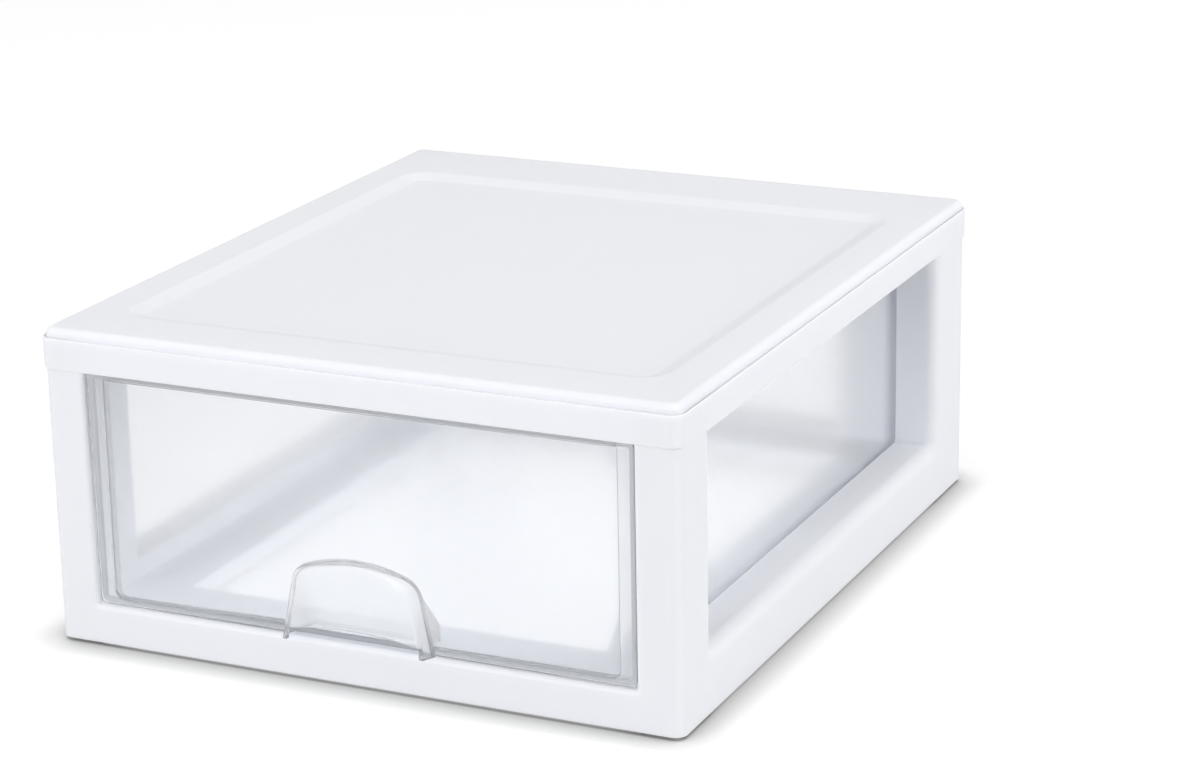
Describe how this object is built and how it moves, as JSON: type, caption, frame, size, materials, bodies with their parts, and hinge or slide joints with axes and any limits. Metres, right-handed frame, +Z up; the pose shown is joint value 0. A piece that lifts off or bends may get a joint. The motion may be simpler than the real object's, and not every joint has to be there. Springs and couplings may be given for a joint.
{
  "type": "stackable drawer box",
  "caption": "Low moulded drawer box: a windowed frame with a recessed stacking top and a clear pull-out drawer with a hooded finger pull.",
  "frame": {"origin": "on the surface the box stands on, below the middle of its overall width and depth", "axes": "+X to the right across the width, +Y to the back with the drawer front at -Y, +Z up"},
  "size_m": [0.365, 0.4318, 0.1746],
  "materials": {
    "frame_plastic": "fine satin, moulded",
    "drawer_clear": "clear gloss, faintly cool"
  },
  "bodies": {
    "frame": {"top_cap": "frame_plastic", "front_left_post": "frame_plastic", "front_right_post": "frame_plastic", "rear_left_post": "frame_plastic", "rear_right_post": "frame_plastic", "rear_left_panel": "frame_plastic", "rear_right_panel": "frame_plastic", "front_rail": "frame_plastic", "rear_rail": "frame_plastic", "left_rail": "frame_plastic", "right_rail": "frame_plastic", "rear_sill": "frame_plastic", "left_sill": "frame_plastic", "right_sill": "frame_plastic"},
    "drawer": {"drawer_tub": "drawer_clear", "drawer_pull": "drawer_clear"}
  },
  "joints": [
    {"name": "drawer_slide", "type": "slide", "parent": "frame", "child": "drawer", "axis": [0, -1, 0], "range_m": [0, 0.325]}
  ]
}
